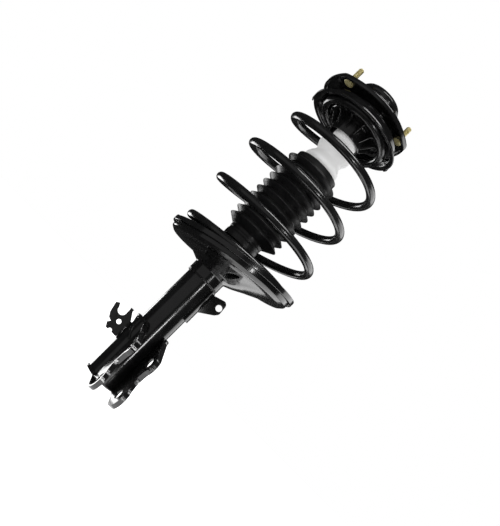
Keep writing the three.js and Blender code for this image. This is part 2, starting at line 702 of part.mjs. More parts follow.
addTube();
addCylinder();
addRodGuide();
addTubeCap();
addRod();
addSpring();
addLowerSeat();
addUpperSeat();
addBumpStop();
addBoot();
addMountPlate();
addStuds();
addDome();
addBearing();
addRodNut();
addKnuckleBracket();
addHoseBracket();
addLinkBracket();

export default group;
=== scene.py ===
"""Look of a front suspension strut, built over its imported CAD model.

Lengths in the shape functions are millimetres in the CAD frame. Meshes are made in metres.
"""

import json
import math

import bmesh
import bpy
import numpy as np
from mathutils import Matrix, Vector


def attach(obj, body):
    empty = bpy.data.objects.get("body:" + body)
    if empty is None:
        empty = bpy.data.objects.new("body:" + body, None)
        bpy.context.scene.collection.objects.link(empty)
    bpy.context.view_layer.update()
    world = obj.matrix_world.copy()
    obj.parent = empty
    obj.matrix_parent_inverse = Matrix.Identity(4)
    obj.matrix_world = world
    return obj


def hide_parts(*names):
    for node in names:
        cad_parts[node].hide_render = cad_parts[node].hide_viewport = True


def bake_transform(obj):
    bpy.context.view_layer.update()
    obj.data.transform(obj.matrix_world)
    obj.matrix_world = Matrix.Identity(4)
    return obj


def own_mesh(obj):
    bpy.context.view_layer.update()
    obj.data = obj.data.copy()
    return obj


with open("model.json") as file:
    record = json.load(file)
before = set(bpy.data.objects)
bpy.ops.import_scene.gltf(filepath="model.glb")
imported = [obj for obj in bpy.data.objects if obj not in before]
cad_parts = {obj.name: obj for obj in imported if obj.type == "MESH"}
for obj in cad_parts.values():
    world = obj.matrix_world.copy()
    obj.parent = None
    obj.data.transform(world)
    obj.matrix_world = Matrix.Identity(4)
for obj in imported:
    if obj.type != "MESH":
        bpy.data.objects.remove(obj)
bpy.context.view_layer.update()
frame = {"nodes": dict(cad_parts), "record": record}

MM = 0.001
TAU = 2 * math.pi


# ---------------------------------------------------------------- camera

def add_camera():
    """A tilted and rolled camera. Its distances are in pixels of an image 526 pixels on its long side."""
    long_side = 526
    focal = 735
    rise = 104.2
    data = bpy.data.cameras.new("camera")
    data.sensor_width = 36
    data.lens = data.sensor_width * focal / long_side
    camera = bpy.data.objects.new("camera", data)
    bpy.context.collection.objects.link(camera)
    pitch = math.atan(rise / focal)
    roll = math.radians(44.86)
    right = Vector((1, 0, 0))
    up = Vector((0, -math.sin(pitch), math.cos(pitch)))
    forward = Vector((0, math.cos(pitch), math.sin(pitch)))
    across = math.cos(roll) * up + math.sin(roll) * right
    upward = math.sin(roll) * up - math.cos(roll) * right
    turn = Matrix((across, upward, -forward)).transposed().to_4x4()
    camera.matrix_world = Matrix.Translation((0.028, -0.967, 0.108)) @ turn
    bpy.context.scene.camera = camera


add_camera()


# ---------------------------------------------------------------- materials

def new_material(name):
    material = bpy.data.materials.new(name)
    material.use_nodes = True
    tree = material.node_tree
    shader = tree.nodes["Principled BSDF"]
    coordinates = tree.nodes.new("ShaderNodeTexCoord")
    return material, tree, shader, coordinates.outputs["Object"]


def noise(tree, place, scale, detail=4.0, roughness=0.55, stretch=None):
    node = tree.nodes.new("ShaderNodeTexNoise")
    node.inputs["Scale"].default_value = scale
    node.inputs["Detail"].default_value = detail
    node.inputs["Roughness"].default_value = roughness
    if stretch is not None:
        mapping = tree.nodes.new("ShaderNodeMapping")
        mapping.inputs["Scale"].default_value = stretch
        tree.links.new(place, mapping.inputs["Vector"])
        place = mapping.outputs["Vector"]
    tree.links.new(place, node.inputs["Vector"])
    return node.outputs["Fac"]


def ramp(tree, value, low, high, first, second):
    """Runs from the first colour or number to the second as the value goes from low to high."""
    node = tree.nodes.new("ShaderNodeValToRGB")
    tree.links.new(value, node.inputs["Fac"])
    for element, position, level in zip(node.color_ramp.elements, (low, high), (first, second)):
        element.position = position
        colour = level if isinstance(level, tuple) else (level, level, level)
        element.color = (*colour, 1)
    return node.outputs["Color"]


def bump(tree, shader, height, strength, distance, under=None):
    node = tree.nodes.new("ShaderNodeBump")
    node.inputs["Strength"].default_value = strength
    node.inputs["Distance"].default_value = distance
    tree.links.new(height, node.inputs["Height"])
    if under is not None:
        tree.links.new(under, node.inputs["Normal"])
    tree.links.new(node.outputs["Normal"], shader.inputs["Normal"])
    return node.outputs["Normal"]


def mixed(tree, share, first, second):
    node = tree.nodes.new("ShaderNodeMix")
    node.data_type = "RGBA"
    tree.links.new(share, node.inputs["Factor"])
    tree.links.new(first, node.inputs["A"])
    tree.links.new(second, node.inputs["B"])
    return node.outputs["Result"]


def black_paint(name="black_paint", dark=0.004, light=0.008, rough=(0.14, 0.24), peel=0.05):
    """Gloss black paint with a fine orange peel, a cloudy sheen and dust in the low spots."""
    material, tree, shader, place = new_material(name)
    cloud = noise(tree, place, 38, 5)
    speck = noise(tree, place, 700, 2, 0.7)
    base = ramp(tree, cloud, 0.35, 0.7, (dark, dark, dark * 1.05), (light, light, light * 1.02))
    dust = ramp(tree, speck, 0.7, 0.82, (0, 0, 0), (1, 1, 1))
    grey = ramp(tree, cloud, 0.3, 0.8, (0.012, 0.012, 0.012), (0.025, 0.0245, 0.024))
    tree.links.new(mixed(tree, dust, base, grey), shader.inputs["Base Color"])
    tree.links.new(ramp(tree, cloud, 0.3, 0.75, *rough), shader.inputs["Roughness"])
    shader.inputs["Specular IOR Level"].default_value = 0.55
    shader.inputs["Coat Weight"].default_value = 0.35
    shader.inputs["Coat Roughness"].default_value = 0.08
    wave = bump(tree, shader, noise(tree, place, 160, 3), peel, 0.0005)
    bump(tree, shader, speck, 0.02, 0.0001, wave)
    return material


def black_rubber(name="rubber", level=0.006, rough=(0.38, 0.6), grain=0.25):
    """Moulded satin rubber with a fine grain and paler bloom."""
    material, tree, shader, place = new_material(name)
    cloud = noise(tree, place, 55, 5)
    fine = noise(tree, place, 1400, 3, 0.65)
    bloom = (level * 2.1, level * 2.1, level * 2.15)
    base = ramp(tree, cloud, 0.35, 0.75, (level, level, level * 1.04), bloom)
    tree.links.new(base, shader.inputs["Base Color"])
    tree.links.new(ramp(tree, cloud, 0.3, 0.8, *rough), shader.inputs["Roughness"])
    shader.inputs["Specular IOR Level"].default_value = 0.45
    bump(tree, shader, fine, grain, 0.0004)
    return material


def white_foam():
    """Cellular polyurethane: off-white, matt, with open pores and faint stains."""
    material, tree, shader, place = new_material("foam")
    cells = tree.nodes.new("ShaderNodeTexVoronoi")
    cells.inputs["Scale"].default_value = 900
    tree.links.new(place, cells.inputs["Vector"])
    stain = noise(tree, place, 45, 5)
    base = ramp(tree, stain, 0.3, 0.75, (0.9, 0.9, 0.895), (0.96, 0.96, 0.955))
    tree.links.new(base, shader.inputs["Base Color"])
    tree.links.new(ramp(tree, stain, 0.2, 0.8, 0.62, 0.82), shader.inputs["Roughness"])
    shader.inputs["Subsurface Weight"].default_value = 0.12
    shader.inputs["Subsurface Radius"].default_value = (0.004, 0.004, 0.004)
    bump(tree, shader, cells.outputs["Distance"], 0.25, 0.0004)
    return material


def metal(name, dark, light, rough, scratch, stretch=(1, 1, 12), grain=300):
    """Bare or plated metal with tool marks along one direction and cloudy tone."""
    material, tree, shader, place = new_material(name)
    marks = noise(tree, place, grain, 4, 0.6, stretch)
    cloud = noise(tree, place, 90, 4)
    tree.links.new(ramp(tree, cloud, 0.3, 0.72, dark, light), shader.inputs["Base Color"])
    tree.links.new(ramp(tree, marks, 0.25, 0.8, *rough), shader.inputs["Roughness"])
    shader.inputs["Metallic"].default_value = 1
    bump(tree, shader, marks, scratch, 0.0002)
    return material


def yellow_zinc():
    """Yellow passivated zinc: gold with olive and pale patches."""
    material, tree, shader, place = new_material("zinc")
    cloud = noise(tree, place, 260, 4)
    fine = noise(tree, place, 2200, 2)
    base = ramp(tree, cloud, 0.32, 0.68, (0.5, 0.42, 0.16), (0.86, 0.78, 0.45))
    tree.links.new(base, shader.inputs["Base Color"])
    tree.links.new(ramp(tree, cloud, 0.3, 0.75, 0.22, 0.4), shader.inputs["Roughness"])
    shader.inputs["Metallic"].default_value = 0.45
    bump(tree, shader, fine, 0.12, 0.0001)
    return material


PAINT = black_paint()
SPRING_PAINT = black_paint("spring_powder_coat", 0.005, 0.009, (0.18, 0.3), 0.1)
RUBBER = black_rubber()
BOOT = black_rubber("boot_rubber", 0.006, (0.3, 0.45), 0.12)
FOAM = white_foam()
STEEL = metal("steel", (0.5, 0.51, 0.53), (0.68, 0.69, 0.7), (0.25, 0.45), 0.25)
CHROME = metal("chrome", (0.72, 0.73, 0.75), (0.82, 0.82, 0.83), (0.06, 0.14), 0.05, (1, 1, 20), 500)
ZINC = yellow_zinc()
NYLON = black_rubber("nylon", 0.05, (0.35, 0.5), 0.1)
LOOKS = {"black_paint": PAINT, "steel": STEEL, "chrome": CHROME, "rubber": RUBBER, "foam": FOAM,
         "zinc": ZINC, "plastic": NYLON}


# ---------------------------------------------------------------- mesh tools

def made(name, vertices, faces, material, sharp=40):
    """An object from points in millimetres, shaded smooth with its sharp edges kept."""
    mesh = bpy.data.meshes.new(name)
    mesh.from_pydata([tuple(MM * c for c in v) for v in vertices], [], faces)
    bm = bmesh.new()
    bm.from_mesh(mesh)
    bmesh.ops.remove_doubles(bm, verts=bm.verts, dist=1e-7)
    bmesh.ops.recalc_face_normals(bm, faces=bm.faces)
    bm.to_mesh(mesh)
    bm.free()
    mesh.materials.append(material)
    obj = bpy.data.objects.new(name, mesh)
    bpy.context.collection.objects.link(obj)
    shade(obj, sharp)
    return obj


def ring_faces(rings, sides, closed=False):
    """Faces between rings of points, and from the last ring to the first where it is closed."""
    faces = []
    for i in range(rings if closed else rings - 1):
        j = (i + 1) % rings
        for k in range(sides):
            n = (k + 1) % sides
            faces.append((i * sides + k, i * sides + n, j * sides + n, j * sides + k))
    return faces


def end_faces(rings, sides):
    """The two faces that close a tube of rings."""
    return [tuple(range(sides)), tuple(range((rings - 1) * sides, rings * sides))[::-1]]


def shade(obj, sharp=40):
    obj.data.polygons.foreach_set("use_smooth", [True] * len(obj.data.polygons))
    obj.data.set_sharp_from_angle(angle=math.radians(sharp))


def applied(obj):
    """The object's modifiers become its mesh."""
    bpy.context.view_layer.update()
    graph = bpy.context.evaluated_depsgraph_get()
    mesh = bpy.data.meshes.new_from_object(obj.evaluated_get(graph))
    obj.modifiers.clear()
    obj.data = mesh


def combined(obj, other, operation):
    """Cuts, joins or intersects one closed object with another, which is then removed."""
    modifier = obj.modifiers.new("boolean", "BOOLEAN")
    modifier.operation = operation
    modifier.solver = "EXACT"
    modifier.object = other
    applied(obj)
    bpy.data.objects.remove(other)


def bevelled(obj, width, angle=35, segments=3):
    modifier = obj.modifiers.new("bevel", "BEVEL")
    modifier.width = width * MM
    modifier.segments = segments
    modifier.limit_method = "ANGLE"
    modifier.angle_limit = math.radians(angle)
    modifier.harden_normals = False
    applied(obj)
    shade(obj, 50)


def finish_piece(obj, body, slot, *nodes):
    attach(obj, body)
    if nodes:
        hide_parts(*nodes)


def full_points(profile):
    """Profile points as [radius, height, share], where a share that is left out is 1."""
    return [np.array([*p, 1.0] if len(p) == 2 else p, float) for p in profile]


def softened(profile, radius, steps=4):
    """Rounds the corners of a closed profile."""
    points = full_points(profile)
    out = []
    for before, here, after in zip(points[-1:] + points[:-1], points, points[1:] + points[:1]):
        if here[0] < 1e-9:
            out.append(here)
            continue
        reach_in = min(radius, 0.45 * np.linalg.norm((before - here)[:2]))
        reach_out = min(radius, 0.45 * np.linalg.norm((after - here)[:2]))
        start = here + (before - here) * reach_in / np.linalg.norm((before - here)[:2])
        end = here + (after - here) * reach_out / np.linalg.norm((after - here)[:2])
        for k in range(steps + 1):
            t = k / steps
            out.append((1 - t) ** 2 * start + 2 * t * (1 - t) * here + t * t * end)
    return out


def revolved(name, profile, material, plane=(0, 0, 0), steps=128, radius=0.8, shape=None, sharp=40):
    """A turned ring or round piece. The plane is a seat's offset along X and its slopes in X and Y,
    which each point follows by its share. shape may move each point, given its angle, radius and height."""
    offset, lean_x, lean_y = plane
    loop = softened(profile, radius) if radius else full_points(profile)
    vertices = []
    for r, z, share in loop:
        for k in range(steps):
            angle = TAU * k / steps
            rr, zz = shape(angle, r, z) if shape else (r, z)
            dx, dy = rr * math.cos(angle), rr * math.sin(angle)
            vertices.append((share * offset + dx, dy, zz + share * (lean_x * dx + lean_y * dy)))
    count = len(loop)
    faces = []
    for i in range(count):
        j = (i + 1) % count
        if loop[i][0] < 1e-9 and loop[j][0] < 1e-9:
            continue
        for k in range(steps):
            n = (k + 1) % steps
            faces.append((i * steps + k, i * steps + n, j * steps + n, j * steps + k))
    return made(name, vertices, faces, material, sharp)


def prism(name, outline, low, high, material, matrix=None):
    """An outline of (x, y) points extruded from low to high, then placed."""
    count = len(outline)
    vertices = [Vector((x, y, z)) for z in (low, high) for x, y in outline]
    if matrix is not None:
        vertices = [matrix @ v for v in vertices]
    sides = [(k, (k + 1) % count, count + (k + 1) % count, count + k) for k in range(count)]
    faces = [tuple(range(count))[::-1], tuple(range(count, 2 * count)), *sides]
    return made(name, vertices, faces, material)


def arc(x, y, radius, first, last, steps=16):
    angles = np.radians(np.linspace(first, last, steps + 1))
    return [(x + radius * math.cos(a), y + radius * math.sin(a)) for a in angles]


def bead(name, path, radius, seed):
    """A weld bead on the strut's body along a path: a lumpy tube with overlapping ripples."""
    rng = np.random.default_rng(seed)
    points = np.array(path, float)
    lengths = np.r_[0, np.cumsum(np.linalg.norm(np.diff(points, axis=0), axis=1))]
    count = max(8, int(lengths[-1] / 0.9))
    where = np.linspace(0, lengths[-1], count)
    centres = np.stack([np.interp(where, lengths, points[:, c]) for c in range(3)], 1)
    tangents = np.gradient(centres, axis=0)
    vertices = []
    sides = 10
    for i, (centre, tangent) in enumerate(zip(centres, tangents)):
        tangent = tangent / np.linalg.norm(tangent)
        side = np.cross(tangent, [0.31, 0.17, 0.94])
        side /= np.linalg.norm(side)
        other = np.cross(tangent, side)
        ripple = 1 + 0.16 * math.sin(where[i] * TAU / 3.2) + 0.06 * rng.standard_normal()
        size = radius * ripple * (0.35 if i in (0, count - 1) else 1)
        for k in range(sides):
            a = TAU * k / sides
            vertices.append(centre + size * (math.cos(a) * side + math.sin(a) * other))
    faces = ring_faces(count, sides) + end_faces(count, sides)
    finish_piece(made(name, vertices, faces, PAINT, 80), "strut_body", "black_paint")


def circle(radius, height, steps=160):
    """Points round the damper's axis, with the last on the first."""
    return [(radius * math.cos(a), radius * math.sin(a), height) for a in np.linspace(0, TAU, steps)]


# ---------------------------------------------------------------- carried-over CAD nodes

SLOTS = {row["node"]: row["material_slot"] for row in frame["record"]["subparts"]}
for node_name, node in frame["nodes"].items():
    node.data.materials.clear()
    node.data.materials.append(LOOKS[SLOTS[node_name]])


# ---------------------------------------------------------------- sizes shared with the CAD model

GAP = 0.3
SHEET = 2.8  # thickness of the pressed pieces
PAD = 2.5  # thickness of the rubber insulators
TUBE = 22.5  # radius
TUBE_WALL = 2.2
TUBE_FLOOR = 5
TUBE_TOP = 284
ROD = 10  # radius
THREAD = 7  # radius of the rod's threaded end
SHOULDER = 487  # where the rod narrows to its thread
# planes: an offset along X, then the slopes along X and Y
SIDEWAYS = (2, 0, 0)
LOWER = (11, 0.14, 0)
UPPER = (-1, 0, -0.06)
PLATE = (-4.5, 0, -0.06)
SEAT_LEVEL = 232
SEAT_FLOOR = 219.5
SEAT_TOP = 490.5
PLATE_TOP = 505
COIL = 81.5  # radius to the wire's middle
WIRE = 6.1  # radius
TAIL = 52  # radius of the spring's closed end


# ---------------------------------------------------------------- damper tube

def add_tube():
    edge = 2.5
    inner = TUBE - TUBE_WALL
    profile = [(0, 0), (TUBE - edge, 0), (TUBE, edge), (TUBE, TUBE_TOP), (inner, TUBE_TOP),
               (inner, TUBE_FLOOR), (0, TUBE_FLOOR)]
    tube = revolved("damper_tube", profile, PAINT, radius=1.2)
    finish_piece(tube, "strut_body", "black_paint", "strut_tube")
    bead("tube_end_weld", circle(TUBE, 2.2), 1.1, 11)


add_tube()


# ---------------------------------------------------------------- lower spring seat

def seat_press(angle, r, z):
    """Pressed shapes of the seat: a shallow pocket about the drain and a step where the wire ends."""
    degrees = math.degrees(angle) % 360
    pocket = 0.4 * math.exp(-(((degrees - 298) / 15) ** 4) - ((r - 49) / 17) ** 4)
    step = 1.2 / (1 + math.exp(-(degrees - 196) / 0.7)) / (1 + math.exp((degrees - 240) / 6))
    lifted = 3.2 * pocket if 34 < r < 70 else 0
    return r, z + lifted - (step if r > 90 else 0)


def add_lower_seat():
    wall = COIL + WIRE + 1.2
    outer = wall + SHEET
    lip = outer + 4.2
    track = COIL - WIRE - 3
    inner = TUBE + GAP
    sleeve = inner + 2
    low = SEAT_LEVEL - 48
    high = low + 14
    knee = sleeve + 22
    top = SEAT_LEVEL
    floor = SEAT_FLOOR
    profile = [(inner, low, 0), (sleeve, low, 0), (sleeve, high, 0), (sleeve + 9, high + 3.6, 0.2),
               (knee, high + 10, 0.5), (track - 6, floor - SHEET - 2.5), (track, floor - SHEET),
               (wall - 3, floor - SHEET), (outer, floor + 1.5), (outer, top - 2), (outer + 0.5, top - 0.5),
               (lip - 1.8, top - 0.5), (lip - 1.8, top - 5), (lip, top - 5), (lip, top), (lip, top + 2),
               (wall + 1.5, top + 1.5), (wall, top - 0.5), (wall, floor + 2), (wall - 2, floor),
               (track, floor), (track - 5, floor - 2), (knee, high + 13.5, 0.5),
               (sleeve + 9, high + 8, 0.2), (inner, high + 4.5, 0)]
    seat = revolved("spring_seat_lower", profile, PAINT, LOWER, 180, 1.4, seat_press)
    drain_reach = (sleeve + track) / 2 + 1.5
    drain_wide, drain_long = 6, 13.5
    drain_turn = Matrix.Rotation(math.radians(28), 4, "Z")
    slot = [(x * drain_wide, y * drain_long - drain_reach) for x, y in arc(0, 0, 1, 0, 350, 35)]
    hole = prism("cutter", slot, low, top + 60, PAINT, drain_turn)
    combined(seat, hole, "DIFFERENCE")
    shade(seat)
    finish_piece(seat, "strut_body", "black_paint", "lower_spring_seat")

    pad_low = floor + GAP
    pad_outer = wall - 2 - GAP
    pad = [(track + 1, pad_low), (pad_outer, pad_low), (pad_outer, pad_low + PAD), (track + 1, pad_low + PAD)]
    insulator = revolved("spring_pad_lower", pad, RUBBER, LOWER, 128, 0.8)
    finish_piece(insulator, "strut_body", "rubber", "lower_insulator")

    bead("seat_weld", circle(sleeve * 0.955, low - 0.6), 1.0, 21)


add_lower_seat()


# ---------------------------------------------------------------- coil spring

TURNS = 5.15
CLIMB_START, CLIMB_FULL, CLIMB_TURNS = 0.4, 1, 3.9
CLIMB_BEND = 12  # how gently the climb ends
CLOSING, CLOSED = 3.6, 4.5  # turns between which the spring draws in
BELLY = 4.5
COIL_LOW = SEAT_FLOOR + 2 * GAP + PAD + WIRE
COIL_HIGH = SEAT_TOP - SHEET - 2 * GAP - PAD - WIRE


def smooth(value, low, high):
    t = min(1.0, max(0.0, (value - low) / (high - low)))
    return t * t * (3 - 2 * t)


def climbed(turn):
    """How far the wire has climbed above the lower seat after so many turns."""
    whole = COIL_HIGH - COIL_LOW
    easing = CLIMB_FULL - CLIMB_START
    lifting = min(max(turn - CLIMB_START, 0), easing)
    free = whole / CLIMB_TURNS * (lifting ** 2 / (2 * easing) + max(0, turn - CLIMB_FULL))
    over = min(max(free - (whole - CLIMB_BEND), 0), 2 * CLIMB_BEND)
    return min(free, whole + CLIMB_BEND) - over ** 2 / (4 * CLIMB_BEND)


def coil_point(turn):
    """The wire's middle after so many turns, and its share of the way from the lower seat to the upper."""
    rise = climbed(turn)
    share = rise / (COIL_HIGH - COIL_LOW)
    flatten = smooth(share, 0.85, 1)
    free = smooth(share, 0.05, 0.25) * (1 - flatten)
    belly = BELLY * math.sin(math.pi * min(1, share / 0.8))
    radius = COIL + belly + (TAIL - COIL - belly) * smooth(turn, CLOSING, CLOSED)
    angle = math.pi - TAU * (turn - 1)
    dx, dy = radius * math.cos(angle), radius * math.sin(angle)
    lean = (1 - flatten) * LOWER[1] * dx + flatten * UPPER[2] * dy
    sag = free * (0.04 * dy - 0.02 * dx - 2)
    offset = LOWER[0] + (1 - LOWER[0]) * smooth(share, 0, 0.55)
    offset += (UPPER[0] - offset) * flatten
    return np.array([offset + dx, dy, COIL_LOW + rise + lean + sag]), share


def add_spring():
    per_turn = 96
    sides = 28
    count = int(TURNS * per_turn)
    places = np.linspace(0, TURNS, count + 1)
    centres, shares = zip(*(coil_point(t) for t in places))
    centres = np.array(centres)
    tangents = np.gradient(centres, axis=0)
    vertices = []
    rounding = [(-1.2, 0.55), (-0.9, 0.8), (-0.35, 0.95)]
    rings = [(0, shift, size) for shift, size in rounding]
    rings += [(i, 0, 1) for i in range(count + 1)]
    rings += [(count, -shift, size) for shift, size in reversed(rounding)]
    for i, shift, size in rings:
        tangent = tangents[i] / np.linalg.norm(tangents[i])
        outward = np.cross(tangent, [0, 0, 1])
        outward /= np.linalg.norm(outward)
        other = np.cross(outward, tangent)
        for k in range(sides):
            a = TAU * k / sides
            point = centres[i] + tangent * shift
            vertices.append(point + WIRE * size * (math.cos(a) * outward + math.sin(a) * other))
    faces = ring_faces(len(rings), sides) + end_faces(len(rings), sides)
    spring = made("spring", vertices, faces, SPRING_PAINT, 60)
    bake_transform(spring)
    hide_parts("coil_spring")


add_spring()


# ---------------------------------------------------------------- upper spring seat

POCKET_INNER = TAIL - WIRE - 1.6
POCKET_OUTER = TAIL + WIRE + 2


def on_upper(x, y, z):
    return (x + UPPER[0], y, z + UPPER[2] * y)


def add_seat_ribs(well, low):
    """Gussets between the boss that holds the bump stop and the wire's pocket."""
    ribs_round = 12
    vertices = []
    faces = []
    for k in range(ribs_round):
        angle = TAU * (k + 0.3) / ribs_round
        out = np.array([math.cos(angle), math.sin(angle)])
        across = np.array([-out[1], out[0]]) * 0.9
        corners = [(26.6, well + 0.5), (26.6, low + 5), (29, low + 6), (38, well - 4), (42.6, well - 3),
                   (42.6, well + 0.5)]
        first = len(vertices)
        for side in (-1, 1):
            for radius, z in corners:
                x, y = out * radius + side * across
                vertices.append(on_upper(x, y, z))
        count = len(corners)
        faces.append(tuple(first + i for i in range(count)))
        faces.append(tuple(first + count + i for i in reversed(range(count))))
        for i in range(count):
            j = (i + 1) % count
            faces.append((first + i, first + count + i, first + count + j, first + j))
    ribs = made("seat_ribs", vertices, faces, PAINT)
    bevelled(ribs, 0.4, 30, 2)
    finish_piece(ribs, "rod", "black_paint")


def add_claws(rim_low, lip):
    """Tabs bent down over the seat's lip."""
    for number, degrees in enumerate((184, 356, 90), 1):
        angle = math.radians(degrees)
        out = np.array([math.cos(angle), math.sin(angle)])
        across = np.array([-out[1], out[0]])
        path = [(lip - 6, rim_low + 4.3, 7), (lip - 2.4, rim_low + 3.2, 7), (lip - 1.4, rim_low + 1, 7),
                (lip - 1.2, rim_low - 5, 6), (lip - 3.2, rim_low - 9.5, 3.4)]
        vertices = []
        for radius, z, wide in path:
            for thick in (-0.9, 0.9):
                for side in (-wide, wide):
                    x, y = out * (radius + thick) + across * side
                    vertices.append(on_upper(x, y, z))
        faces = []
        for k in range(len(path) - 1):
            a, b = 4 * k, 4 * (k + 1)
            for i, j in ((0, 1), (1, 3), (3, 2), (2, 0)):
                faces.append((a + i, a + j, b + j, b + i))
        faces.append((0, 2, 3, 1))
        faces.append(tuple(4 * (len(path) - 1) + i for i in (0, 1, 3, 2)))
        claw = made(f"seat_claw_{number}", vertices, faces, PAINT)
        bevelled(claw, 0.5, 25, 2)
        finish_piece(claw, "rod", "black_paint")


def add_upper_seat():
    top = SEAT_TOP
    boss_low = top - 36
    boss = 24
    cup = boss + 3
    well = top - 14
    rim_low = top - 16.5
    rim = POCKET_OUTER + SHEET + 2.4
    lip = rim + 6.7
    bore = THREAD + GAP
    seat_low = SHOULDER + GAP
    hub = seat_low + SHEET
    profile = [(bore, seat_low, 0), (boss - 3, seat_low, 0), (boss, seat_low - 3, 0.2), (boss, boss_low),
               (cup, boss_low), (cup, well), (POCKET_INNER - 2, well), (POCKET_INNER, well + 2),
               (POCKET_INNER, top - SHEET),
               (POCKET_OUTER, top - SHEET), (POCKET_OUTER + 0.5, rim_low + 6), (rim, rim_low + 1),
               (lip, rim_low), (lip, rim_low + SHEET), (rim, rim_low + SHEET + 1),
               (POCKET_OUTER + SHEET + 0.5, rim_low + 7), (POCKET_OUTER + SHEET, top - 2),
               (POCKET_OUTER + SHEET - 2, top), (POCKET_INNER - SHEET, top),
               (POCKET_INNER - SHEET, well + SHEET + 1), (POCKET_INNER - SHEET - 1, well + SHEET),
               (cup + 1, well + SHEET), (cup, well + SHEET + 1), (cup - 1, hub, 0.2), (bore, hub, 0)]
    seat = revolved("spring_seat_upper", profile, PAINT, UPPER, 160, 1.2)
    finish_piece(seat, "rod", "black_paint", "upper_spring_seat")
    add_seat_ribs(well, boss_low)
    add_claws(rim_low, lip)

    pad_top = top - SHEET - GAP
    pad = [(POCKET_INNER + GAP, pad_top - PAD), (POCKET_OUTER - GAP, pad_top - PAD),
           (POCKET_OUTER - GAP, pad_top), (POCKET_INNER + GAP, pad_top)]
    insulator = revolved("spring_pad_upper", pad, RUBBER, UPPER, 128, 0.7)
    finish_piece(insulator, "rod", "rubber", "upper_insulator")


add_upper_seat()


# ---------------------------------------------------------------- bump stop and dust boot

def add_bump_stop():
    """White foam on the rod, with three round bulges."""
    bore = ROD + GAP
    top = SHOULDER - 1
    low = top - 116
    pitch = 27.7
    lowest = SHOULDER - 51.3 - 2 * pitch
    waist = 21.4
    mouth = 17.5
    outside = []
    for z in np.linspace(low, top, 150):
        phase = (z - lowest) / pitch
        bulge = (0.5 + 0.5 * math.cos(TAU * phase)) ** 0.8
        radius = waist + (6.4 if z < lowest + 40 else 5.2) * bulge
        if z < lowest - 9:
            radius = mouth + (radius - mouth) * smooth(z, low, lowest - 7)
        if z > lowest + 2.5 * pitch:
            radius = waist
        radius -= 1.4 * smooth(z, lowest + 58, lowest + 68)
        outside.append((radius, z, 1 - 0.5 * smooth(z, top - 30, top)))
    profile = [(bore, low, 0), *outside, (bore, top, 0)]
    stop = revolved("foam_stop", profile, FOAM, SIDEWAYS, 96, 0, sharp=60)
    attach(stop, "rod")
    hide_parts("bump_stop")
    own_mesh(stop)


BOOT_LOW = TUBE_TOP - 13.5
BOOT_HIGH = SHOULDER - 92


def add_boot():
    ridges = 10
    pitch = (BOOT_HIGH - BOOT_LOW) / ridges
    tip = 41.8
    valley = 33.5
    wall = 1.6
    outside = []
    for k in range(ridges):
        if k > 0:
            outside.append((valley, BOOT_LOW + k * pitch))
        outside.append((tip, BOOT_LOW + (k + 0.5) * pitch))
    inside = [(r - wall - 0.6, z) for r, z in reversed(outside)]
    foot_inner = TUBE + 2 * GAP + 2
    foot_outer = foot_inner + 1.8
    neck_inner = 28.3
    neck_outer = neck_inner + 5.2
    collar = BOOT_HIGH + 6
    foot_low = BOOT_LOW - 20.5
    profile = [(foot_inner, foot_low, 0), (foot_outer, foot_low, 0), (foot_outer, BOOT_LOW - 12, 0),
               (foot_outer - 0.8, BOOT_LOW - 11, 0), (foot_outer - 0.8, BOOT_LOW - 8, 0),
               (foot_outer, BOOT_LOW - 7, 0), (foot_outer, BOOT_LOW - 3, 0), *outside,
               (neck_outer, BOOT_HIGH - 2), (neck_outer, collar), (neck_inner, collar),
               (neck_inner, BOOT_HIGH - 1), *inside, (foot_inner, BOOT_LOW - 1, 0)]
    boot = revolved("boot", profile, BOOT, SIDEWAYS, 128, 0.8, sharp=80)
    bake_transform(boot)
    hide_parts("dust_boot")


add_bump_stop()
add_boot()


# ---------------------------------------------------------------- top mount

STUD_ANGLES = [math.radians(-18 + 120 * k) for k in range(3)]
STUD = 4  # radius
STUD_LENGTH = 22
STUD_HEAD = 7
DOME = 34  # radius
DOME_FLANGE = 8
PLATE_MARGIN = 10
STUD_CIRCLE = DOME + DOME_FLANGE + STUD_HEAD + PLATE_MARGIN
PLATE_CORNER = 15  # radius of the arc round each stud
PLATE_SWEEP = 15  # degrees of that arc on each side of its stud


def on_plate(x, y, z):
    return (x + PLATE[0], y, z + PLATE[2] * y)


def plate_outline(inset, per_side=40, per_corner=12):
    """The plate's edge, drawn in by inset: an arc round each stud and bulging sides."""
    half = math.radians(PLATE_SWEEP)
    radius = PLATE_CORNER - inset
    third = TAU / 3
    points = []
    for first in STUD_ANGLES:
        centre = STUD_CIRCLE * np.array([math.cos(first), math.sin(first)])
        for a in np.linspace(first - half, first + half, per_corner):
            points.append(centre + radius * np.array([math.cos(a), math.sin(a)]))
        start = points[-1]
        heading = first + half + math.pi / 2
        tangent = np.array([math.cos(heading), math.sin(heading)])
        middle = first + third / 2 + math.pi / 2
        across = np.array([math.cos(middle), math.sin(middle)])
        control = start - tangent * (start @ across) / (tangent @ across)
        following = first + third
        end = STUD_CIRCLE * np.array([math.cos(following), math.sin(following)])
        end = end + radius * np.array([math.cos(following - half), math.sin(following - half)])
        for t in np.linspace(0, 1, per_side)[1:-1]:
            points.append((1 - t) ** 2 * start + 2 * t * (1 - t) * control + t * t * end)
    return points


